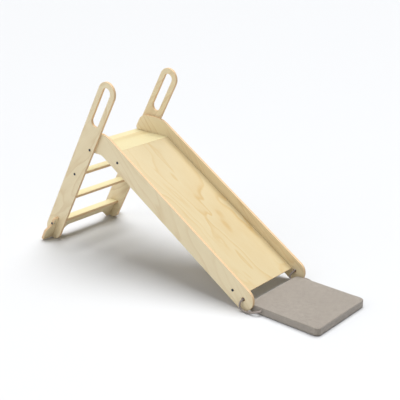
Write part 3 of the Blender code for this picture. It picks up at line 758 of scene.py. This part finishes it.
# %% [markdown]
# The cover is a plain weave of mixed grey-brown yarn. Warp and weft are two sets of waves at right angles,
# multiplied, about 1.6 mm apart here so that they show. Yarns in such a cloth lie closer, at about half
# that. Slow noise gives the heather of mixed yarn, and a little sheen gives the soft rim of light that
# cloth has.

# %% Woven cloth
YARN = 0.0016  # m from yarn to yarn
BANDS_AT_SCALE_1 = 3.2  # bands per metre that a wave texture has at a scale of 1
HEATHER = 0.015  # m; the mixed yarn's flecks are a few mm long, and drawn coarser so that they show
CLOUDS_PER_METRE = 9.0


def woven(name, pale, dark, yarn):
    """Woven polyester: two shades of yarn, matt, with a soft sheen."""
    material, tree, shader = new_material(name, 0.92, ior=1.5)
    shader.inputs["Sheen Weight"].default_value = 0.25
    shader.inputs["Sheen Roughness"].default_value = 0.5
    place = add(tree, "ShaderNodeTexCoord").outputs["Object"]
    threads = []
    for axis in ("X", "Y"):
        wave = add(tree, "ShaderNodeTexWave", {
            "Vector": place, "Scale": 1 / (yarn * BANDS_AT_SCALE_1), "Distortion": 0.6, "Detail": 1.0,
            "Detail Scale": 3.0,
        }, wave_type="BANDS", bands_direction=axis)
        threads.append(wave.outputs["Fac"])
    cross = add(tree, "ShaderNodeMath", {0: threads[0], 1: threads[1]}, operation="MULTIPLY")
    heather = add(tree, "ShaderNodeTexNoise", {
        "Vector": place, "Scale": 0.7 / HEATHER, "Detail": 4.0, "Roughness": 0.75,
    })
    clouds = add(tree, "ShaderNodeTexNoise", {
        "Vector": place, "Scale": CLOUDS_PER_METRE, "Detail": 2.0,
    })
    slow = add(tree, "ShaderNodeMath", {0: clouds.outputs["Fac"], 1: 0.25}, operation="MULTIPLY")
    mixed = add(tree, "ShaderNodeMath", {0: heather.outputs["Fac"], 1: cross.outputs[0]}, operation="ADD")
    toned = add(tree, "ShaderNodeMath", {0: mixed.outputs[0], 1: slow.outputs[0]}, operation="ADD")
    shade = add(tree, "ShaderNodeMapRange", {
        "Value": toned.outputs[0], "From Min": 0.76, "From Max": 0.98,
    })
    colour = add(tree, "ShaderNodeMix", {
        "Factor": shade.outputs[0], 6: linear(dark), 7: linear(pale),
    }, data_type="RGBA")
    tree.links.new(colour.outputs[2], shader.inputs["Base Color"])
    bump = add(tree, "ShaderNodeBump", {"Height": mixed.outputs[0], "Strength": 0.7, "Distance": 0.0016})
    tree.links.new(bump.outputs[0], shader.inputs["Normal"])
    return material


cloth_grey = woven("woven_grey_brown_cloth", "#BBB2A7", "#8C8379", YARN)
cover.data.materials.clear()
cover.data.materials.append(cloth_grey)
print("cloth:", cloth_grey.name)

# %% [markdown]
# A cord can't just stop at the cloth: it goes in through a small sewn eyelet. The cord fills the eyelet's
# hole, so from outside it is a low disc of the same cloth round the cord. A short, slightly tapered cone
# with softened rims makes it. It is let into the cover and stands only 0.4 mm past the mat's own box, so
# that it stays clear of the side boards.

# %% Eyelets
EYELET_R, EYELET_DEEP, EYELET_PROUD = 0.0085, 0.004, 0.0004
EYELET_TAPER, EYELET_RIM_R = 0.001, 0.0006
EYELET_SIDES = 28


def sew_eyelet(name, mouth, outwards):
    """A low solid disc at a cord's end, let into the cover as deep as the cover stands back, and more."""
    bm = bmesh.new()
    bmesh.ops.create_cone(
        bm, cap_ends=True, segments=EYELET_SIDES, radius1=EYELET_R, radius2=EYELET_R - EYELET_TAPER,
        depth=EYELET_DEEP + EYELET_PROUD,
    )
    rims = [e for e in bm.edges if abs(e.verts[0].co.z - e.verts[1].co.z) < LEVEL]
    bmesh.ops.bevel(
        bm, geom=rims, offset=EYELET_RIM_R, segments=2, profile=0.5, affect="EDGES", material=-1,
    )
    turn = outwards.to_track_quat("Z", "Y").to_matrix()
    bmesh.ops.rotate(bm, verts=bm.verts, matrix=turn)
    bmesh.ops.translate(bm, verts=bm.verts, vec=mouth + outwards * (EYELET_PROUD - EYELET_DEEP) / 2)
    piece = new_piece(name, bm, [cloth_grey], smooth=50)
    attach(piece, "mat")
    return piece


for side, sign in (("left", 1), ("right", -1)):
    route = cord_route(side, sign)
    back_mouth = Vector((mat_low.x, route[0].y, SEAM_Z))
    side_mouth = Vector((route[-1].x, sign * mat_high.y, SEAM_Z))
    sew_eyelet(f"eyelet_back_{side}", back_mouth, -X)
    sew_eyelet(f"eyelet_side_{side}", side_mouth, sign * Y)
print("4 eyelets,", EYELET_R * 2000, "mm across")

# %% [markdown]
# Under the cover lies a sheet with small rubber dots, which stops the mat from sliding away as a child
# lands on it. It is cut a little inside the cover's edge, so that it never shows from above: a merged
# copy of the CAD sheet is drawn in all round.

# %% Non-slip sheet
DOT_PITCH = 0.008
SHEET_INSET, SHEET_THINNED = 0.006, 0.8


def dotted_rubber(name):
    """Brown-grey cloth with printed black rubber dots, 8 mm apart."""
    material, tree, shader = new_material(name, 0.8, ior=1.5)
    place = add(tree, "ShaderNodeTexCoord").outputs["Object"]
    cells = add(tree, "ShaderNodeTexVoronoi", {"Vector": place, "Scale": 1 / DOT_PITCH, "Randomness": 0.0})
    dot = add(tree, "ShaderNodeMapRange", {
        "Value": cells.outputs["Distance"], "From Min": 0.32, "From Max": 0.26,
    })
    colour = add(tree, "ShaderNodeMix", {
        "Factor": dot.outputs[0], 6: linear("#5E5852"), 7: linear("#2C2A28"),
    }, data_type="RGBA")
    tree.links.new(colour.outputs[2], shader.inputs["Base Color"])
    bump = add(tree, "ShaderNodeBump", {"Height": dot.outputs[0], "Strength": 0.6, "Distance": 0.0008})
    tree.links.new(bump.outputs[0], shader.inputs["Normal"])
    return material


def non_slip_sheet():
    """The CAD sheet, drawn in all round and a little thinner."""
    low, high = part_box("mat_base")
    bm = merged_copy("mat_base")
    size, centre = high - low, (low + high) / 2
    drawn_in = (
        (size.x - 2 * SHEET_INSET) / size.x, (size.y - 2 * SHEET_INSET) / size.y, SHEET_THINNED,
    )
    about = Matrix.Translation((-centre.x, -centre.y, 0))
    bmesh.ops.scale(bm, verts=bm.verts, vec=drawn_in, space=about)
    piece = new_piece("mat_non_slip_sheet", bm, [dotted_rubber("dotted_non_slip_cloth")], smooth=35)
    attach(piece, "mat")
    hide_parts("mat_base")
    return piece


sheet = non_slip_sheet()
print(sheet.name, [round(v, 4) for v in sheet.dimensions])

# %% [markdown]
# A round braid is strands that wind both ways round a core. Two sets of diagonal stripes on the cord's
# own UV map, one rising and one falling, cross to make its diamonds. The hollows between the strands are
# painted darker than the crowns, as painted shade.

# %% Braided cord
BRAID_PITCH = 0.006  # m along the cord for two diamonds
STRANDS = 8  # diamonds round the cord


def braid(name, pale, dark):
    """Soft polyester braid, grey-brown, with painted shade that darkens its hollows."""
    material, tree, shader = new_material(name, 0.85, ior=1.5)
    shader.inputs["Sheen Weight"].default_value = 0.2
    uv = add(tree, "ShaderNodeUVMap", uv_map="UVMap").outputs[0]
    parts = add(tree, "ShaderNodeSeparateXYZ", {"Vector": uv})
    along = add(tree, "ShaderNodeMath", {0: parts.outputs["X"], 1: 2 * math.pi / BRAID_PITCH},
                operation="MULTIPLY")
    around = add(tree, "ShaderNodeMath", {0: parts.outputs["Y"], 1: 2 * math.pi * STRANDS / 2},
                 operation="MULTIPLY")
    stripes = []
    for operation in ("ADD", "SUBTRACT"):
        both = add(tree, "ShaderNodeMath", {0: along.outputs[0], 1: around.outputs[0]}, operation=operation)
        sine = add(tree, "ShaderNodeMath", {0: both.outputs[0]}, operation="SINE")
        stripes.append(add(tree, "ShaderNodeMath", {0: sine.outputs[0]}, operation="ABSOLUTE").outputs[0])
    height = add(tree, "ShaderNodeMath", {0: stripes[0], 1: stripes[1]}, operation="MAXIMUM")
    # painted shade: the hollows between the strands, low in the height, get the dark colour
    colour = add(tree, "ShaderNodeMix", {
        "Factor": height.outputs[0], 6: linear(dark), 7: linear(pale),
    }, data_type="RGBA")
    tree.links.new(colour.outputs[2], shader.inputs["Base Color"])
    bump = add(tree, "ShaderNodeBump", {"Height": height.outputs[0], "Strength": 0.6, "Distance": 0.0006})
    tree.links.new(bump.outputs[0], shader.inputs["Normal"])
    return material


braid_grey = braid("grey_brown_braid", "#9A8F88", "#6E655F")
for cord in cords.values():
    cord.data.materials.append(braid_grey)
print("braid:", braid_grey.name)

# %% [markdown]
# The set is a white floor that runs far past the view. Area lamps near the slide would fade across it, so
# the light is two parallel ones and a dim sky. The strong one comes from overhead and is 50 degrees wide,
# which blurs the shadow under the slide. The weak one comes from the slide's right and lifts the boards'
# outer faces. The Standard view transform lets the white floor reach white.

# %% Floor and light
FLOOR_SIZE = 400.0
FLOOR_PALE = (0.625, 0.634, 0.648, 1)
FLOOR_GAP = 0.0005  # m under the feet, so that no face of theirs lies in the floor
SKY_STRENGTH = 0.28
# where each light comes from, its width in degrees and its strength
LIGHTS = {"overhead": ((-0.05, 0.25, 1.0), 50, 3.7), "side": ((-0.4, -1.0, 0.7), 60, 0.95)}


def plain_floor():
    bm = bmesh.new()
    bmesh.ops.create_grid(bm, x_segments=1, y_segments=1, size=FLOOR_SIZE / 2)
    material, _, shader = new_material("white_floor", 0.6)
    shader.inputs["Base Color"].default_value = FLOOR_PALE
    floor = new_piece("floor", bm, [material])
    floor.location.z = -FLOOR_GAP


def soft_light(name, comes_from, width, strength):
    """Parallel light as from a wide, far ceiling: width is how much of the sky it fills, in degrees."""
    data = bpy.data.lights.new(name, "SUN")
    data.angle, data.energy = math.radians(width), strength
    light = bpy.data.objects.new(name, data)
    bpy.context.scene.collection.objects.link(light)
    light.rotation_mode = "QUATERNION"
    light.rotation_quaternion = (-Vector(comes_from)).to_track_quat("-Z", "Y")


plain_floor()
sky = bpy.data.worlds.new("pale_sky")
sky.use_nodes = True
background = sky.node_tree.nodes["Background"]
background.inputs["Color"].default_value = grey(1.0)
background.inputs["Strength"].default_value = SKY_STRENGTH
bpy.context.scene.world = sky
for name, (comes_from, width, strength) in LIGHTS.items():
    soft_light(name, comes_from, width, strength)
bpy.context.scene.view_settings.view_transform = "Standard"
print("lights:", *LIGHTS)
